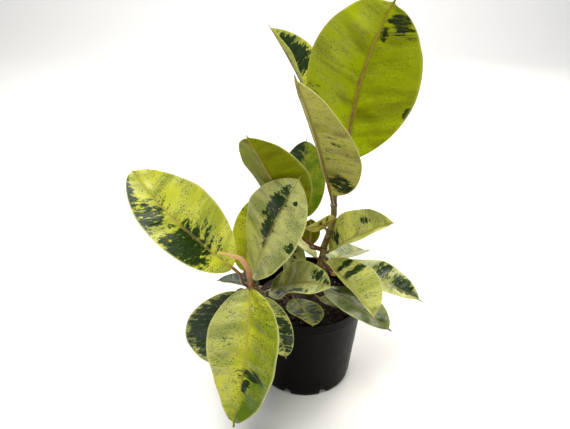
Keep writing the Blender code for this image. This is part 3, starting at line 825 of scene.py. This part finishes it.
# painted shade: its deep green tone stands for the shade on its upper face
leaf("leaf_mid_back", ("main", 0.56), (-0.002, 0.020, 0.219),
     heading=93, rise=73, length=0.104, width=0.059, droop=41, sweep=-11, roll=-2, twist=-5,
     fold=25, fullness=0.65,
     tone=-0.75,
     patches=[(0.80, 0.55, 0.20, 0.50, 0.85), (0.45, 0.6, 0.2, 0.3, 0.40)])

# Left branch: broad leaves round its tip, two of them hanging over the pot's edge.
leaf("leaf_left_broad", ("branch", 0.84), (-0.079, -0.108, 0.229),
     heading=174, rise=39, length=0.149, width=0.083, droop=4, sweep=-39, roll=-37, twist=25,
     fold=27, fullness=0.60,
     tone=0.3, wave=0.03, phase=0.2, pucker=1.2,
     patches=[(0.32, 0.50, 0.12, 0.62, 1.05), (0.62, 0.75, 0.09, 0.65, 0.72),
              (0.79, 0.97, 0.12, 0.26, 0.90), (0.20, -0.30, 0.07, 0.25, 0.42)])
leaf("leaf_centre", ("branch", 0.93), (-0.061, -0.080, 0.201),
     heading=-11, rise=72, length=0.129, width=0.085, droop=11, sweep=17, roll=22, twist=37,
     fold=7, fullness=0.60,
     tone=1.05, side_tone=-0.3, pucker=1.5,
     patches=[(0.71, 0.25, 0.12, 0.22, 1.0), (0.60, 0.42, 0.09, 0.10, 0.7),
              (0.47, 0.15, 0.09, 0.15, 1.0), (0.33, 0.06, 0.05, 0.07, 0.7),
              (0.50, -0.85, 0.04, 0.14, 0.80), (0.80, -0.40, 0.03, 0.12, 0.7),
              (0.45, 0.0, 0.5, 1.0, 0.20)])
leaf("leaf_left_back", ("branch", 0.82), (-0.071, -0.062, 0.195),
     heading=77, rise=77, length=0.088, width=0.045, droop=44, sweep=-5, roll=28, twist=1,
     fold=28, fullness=0.72,
     tone=-0.15, pucker=0.6)
# painted shade: the deeper tip_tone darkens its hanging lower end, which faces down
leaf("leaf_front_hanging", ("branch", 0.95), (-0.062, -0.114, 0.209),
     heading=-91, rise=-58, length=0.145, width=0.088, droop=8, sweep=-30, roll=19, twist=-1,
     fold=10, fullness=0.60,
     tone=0.4, tip_tone=-0.45, side_tone=-1.3, pucker=3.3, wave=0.03,
     patches=[(0.60, 0.25, 0.04, 0.30, 0.80), (0.68, 0.16, 0.04, 0.12, 0.8),
              (0.40, -0.45, 0.08, 0.30, 0.36), (0.82, 0.40, 0.07, 0.30, 0.36)])
leaf("leaf_hanging_left", ("branch", 0.80), (-0.077, -0.093, 0.189),
     heading=178, rise=-50, length=0.120, width=0.067, droop=50, sweep=-7, roll=-90, twist=7,
     fold=22, fullness=0.84,
     tone=1.1,
     patches=[(0.45, -0.35, 0.42, 0.60, 0.85), (0.7, 0.4, 0.3, 0.5, 0.7)])
leaf("leaf_hanging_right", ("branch", 0.70), (-0.052, -0.085, 0.175),
     heading=-48, rise=-40, length=0.075, width=0.042, droop=36, sweep=6, roll=57, twist=6,
     fold=13, fullness=0.65,
     tone=0.9,
     patches=[(0.60, 0.50, 0.28, 0.45, 0.95), (0.75, -0.2, 0.2, 0.3, 0.5)])
# painted shadow: the first patch, on the upper half near the tip
leaf("leaf_low_wavy", ("branch", 0.62), (-0.042, -0.070, 0.172),
     heading=-29, rise=44, length=0.090, width=0.050, droop=37, sweep=-12, roll=28, twist=-8,
     fold=19, fullness=0.61,
     tone=1.15, wave=0.12, phase=0.1, pucker=1.8,
     patches=[(0.78, 0.50, 0.14, 0.35, 0.60), (0.50, -0.75, 0.22, 0.22, 0.75),
              (0.22, -0.4, 0.12, 0.2, 0.6)])
leaf("leaf_low_back", ("branch", 0.35), (-0.024, -0.018, 0.147),
     heading=80, rise=34, length=0.079, width=0.044, droop=19, sweep=-9, roll=55, twist=10,
     fold=16, fullness=0.90,
     tone=1.2,
     patches=[(0.5, 0.0, 0.3, 0.5, 0.45)])
# painted shade: its deep tone and strong patches darken it where it lies low over the soil
leaf("leaf_pot_front", ("branch", 0.27), (-0.015, -0.025, 0.1285),
     heading=-58, rise=-2, length=0.064, width=0.045, droop=-16, sweep=-26, roll=-6, twist=-6,
     fold=7, fullness=0.79,
     tone=-0.6, pucker=1.2,
     patches=[(0.50, -0.50, 0.32, 0.40, 0.60), (0.55, 0.50, 0.38, 0.40, 0.66)])

# Right side and the middle of the main stem.
leaf("leaf_right_upper", ("main", 0.40), (0.029, 0.001, 0.183),
     heading=-38, rise=43, length=0.107, width=0.065, droop=9, sweep=4, roll=28, twist=11, fold=39,
     fullness=0.65,
     tone=0.85, pucker=1.4, wave=0.06, phase=0.4,
     patches=[(0.14, 0.45, 0.09, 0.45, 0.62), (0.65, 0.50, 0.06, 0.14, 0.75),
              (0.4, 0.2, 0.3, 0.5, 0.30)])
leaf("leaf_right_back", ("main", 0.33), (0.032, 0.019, 0.156),
     heading=54, rise=-13, length=0.109, width=0.057, droop=10, sweep=0, roll=-4, twist=3, fold=18,
     fullness=0.80,
     tone=1.4,
     patches=[(0.5, 0.2, 0.3, 0.5, 0.32)])
leaf("leaf_right_drooping", ("main", 0.29), (0.035, 0.006, 0.151),
     heading=-19, rise=5, length=0.118, width=0.062, droop=22, sweep=-15, roll=1, twist=-2,
     fold=16, fullness=0.74,
     tone=0.95, pucker=1.3,
     patches=[(0.77, 0.30, 0.12, 0.50, 0.98), (0.52, 0.60, 0.07, 0.50, 0.75),
              (0.30, 0.6, 0.08, 0.2, 0.40)])
leaf("leaf_right_folded", ("shoot", 0.80), (0.022, -0.026, 0.184),
     heading=-51, rise=-12, length=0.107, width=0.064, droop=-15, sweep=-27, roll=-10, twist=-1,
     fold=38, fullness=0.60,
     tone=0.80, pucker=1.4,
     patches=[(0.33, 0.60, 0.038, 0.62, 0.95), (0.19, 0.55, 0.028, 0.50, 0.90),
              (0.6, 0.5, 0.2, 0.4, 0.25)])
leaf("leaf_right_under", ("main", 0.22), (0.023, -0.021, 0.143),
     heading=-47, rise=2, length=0.105, width=0.054, droop=6, sweep=-5, roll=-13, twist=16,
     fold=12, fullness=0.61,
     tone=1.75,
     patches=[(0.15, 0.2, 0.10, 0.4, 0.75), (0.5, 0.4, 0.35, 0.5, 0.36)])
leaf("leaf_right_strip", ("main", 0.33), (0.0135, 0.005, 0.170),
     heading=146, rise=29, length=0.088, width=0.048, droop=-5, sweep=1, roll=22, twist=12, fold=5,
     fullness=0.79,
     tone=0.8,
     patches=[(0.5, 0.0, 0.4, 0.8, 0.30)])
leaf("leaf_small_front", ("main", 0.655), (0.033, -0.0085, 0.233),
     heading=-132, rise=-5, length=0.048, width=0.023, droop=-17, sweep=-22, roll=70, twist=-7,
     fold=6, fullness=0.80,
     tone=1.0,
     patches=[(0.45, 0.3, 0.3, 0.5, 0.45)])
# painted shade: its deep olive tone stands for the shade it sits in
leaf("leaf_small_shaded", ("main", 0.42), (0.005, 0.000, 0.191),
     heading=255, rise=105, length=0.039, width=0.023, droop=35, sweep=0, roll=2, twist=3,
     fold=14, fullness=0.75,
     tone=-1.3,
     patches=[(0.5, 0.0, 0.4, 0.8, 0.30)])
leaf("leaf_pot_right", ("main", 0.14), (0.018, -0.014, 0.121),
     heading=-28, rise=10, length=0.050, width=0.026, droop=16, sweep=-6, roll=8, twist=0, fold=16,
     fullness=0.75,
     tone=1.3,
     patches=[(0.5, 0.2, 0.3, 0.6, 0.42)])
# painted shade: a strong patch over the whole blade darkens it where it lies under the broad leaf
leaf("leaf_left_under", ("branch", 0.70), (-0.056, -0.054, 0.168),
     heading=172, rise=14, length=0.050, width=0.034, droop=10, sweep=12, roll=10, twist=0,
     fold=14, fullness=0.75,
     tone=2.0,
     patches=[(0.5, 0.0, 0.7, 1.6, 1.15)])


# ---- growing tips ---------------------------------------------------------------
# Each next leaf is wrapped in a papery sheath that stands at the end of its stem
# like a spear; it dries, opens and falls off when the leaf comes out.
# Sheath: thin soft skin that lets light through, tan at its foot, paler and rosier
# towards its tip, with fine grain.
sheath_skin, tree, out = new_material("papery_bud_sheath")
along = add(tree, "ShaderNodeAttribute", attribute_name="along").outputs["Fac"]
coords = add(tree, "ShaderNodeTexCoord").outputs["Object"]
nerves = add(tree, "ShaderNodeTexNoise", {"Vector": coords, "Scale": 900.0, "Detail": 3.0})
blush = add(tree, "ShaderNodeTexNoise", {"Vector": coords, "Scale": 120.0, "Detail": 3.0})
mixed = add(tree, "ShaderNodeMath", {0: along, 1: blush.outputs["Fac"]}, operation="ADD")
ramp = add(tree, "ShaderNodeValToRGB", {"Fac": add(tree, "ShaderNodeMapRange", {
    "Value": mixed.outputs[0], "From Min": 0.3, "From Max": 1.5}).outputs[0]})
ramp.color_ramp.elements[0].position, ramp.color_ramp.elements[0].color = 0.0, linear("c09a5e")
ramp.color_ramp.elements[1].position, ramp.color_ramp.elements[1].color = 1.0, linear("f2cf9e")
rosy = ramp.color_ramp.elements.new(0.4)
rosy.color = linear("e4b07c")
bumps = add(tree, "ShaderNodeBump", {"Height": nerves.outputs["Fac"], "Strength": 0.4,
                                     "Distance": 0.0004})
face = add(tree, "ShaderNodeBsdfPrincipled", {"Base Color": ramp.outputs["Color"],
                                              "Roughness": 0.42, "Normal": bumps.outputs[0]})
through = add(tree, "ShaderNodeBsdfTranslucent", {"Color": ramp.outputs["Color"]})
both = add(tree, "ShaderNodeMixShader", {0: 0.35, 1: face.outputs[0], 2: through.outputs[0]})
tree.links.new(both.outputs[0], out.inputs[0])


def bud_sheath(node, points, girth, wrap):
    """A rolled spear: its section is a spiral whose outer flap shows as a seam."""
    path = smooth_path(points, 12)
    bm = bmesh.new()
    layer = bm.verts.layers.float.new("along")
    count = len(path) - 1
    radii = [girth * (0.12 + 0.88 * math.sin(math.pi * (0.24 + 0.76 * i / count)) ** 0.8)
             for i in range(count + 1)]
    sides = 36

    def spiral(i, x, y):
        ahead = (path[min(i + 1, count)] - path[max(i - 1, 0)]).normalized()
        side = ahead.cross(Vector((0.3, -0.9, 0.2))).normalized()
        up = ahead.cross(side)
        turn = (math.atan2(y, x) / (2 * math.pi)) % 1.0
        twist = wrap * i / count
        seam = 0.80 + 0.20 * ((turn - twist) % 1.0)
        return side, up, x * seam, y * seam

    tube(bm, path, radii, sides, spiral, layer, 0)
    piece = finish_piece(node + "_skin", bm, [sheath_skin], 50)
    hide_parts(node)


bud_sheath("bud_sheath_left", [(-0.0634, -0.0892, 0.1990), (-0.0648, -0.0990, 0.2217),
                               (-0.0718, -0.1110, 0.2427), (-0.0903, -0.1240, 0.2571)], 0.0034, 0.7)
bud_sheath("bud_sheath_crown", [(0.0453, 0.0022, 0.3355), (0.048, 0.004, 0.352),
                                (0.050, 0.006, 0.368), (0.050, 0.008, 0.386)], 0.0030, 0.8)
bud_sheath("bud_sheath_right", [(0.0310, -0.0200, 0.1620), (0.034, -0.0235, 0.1640),
                                (0.037, -0.026, 0.1665)], 0.0024, 0.4)
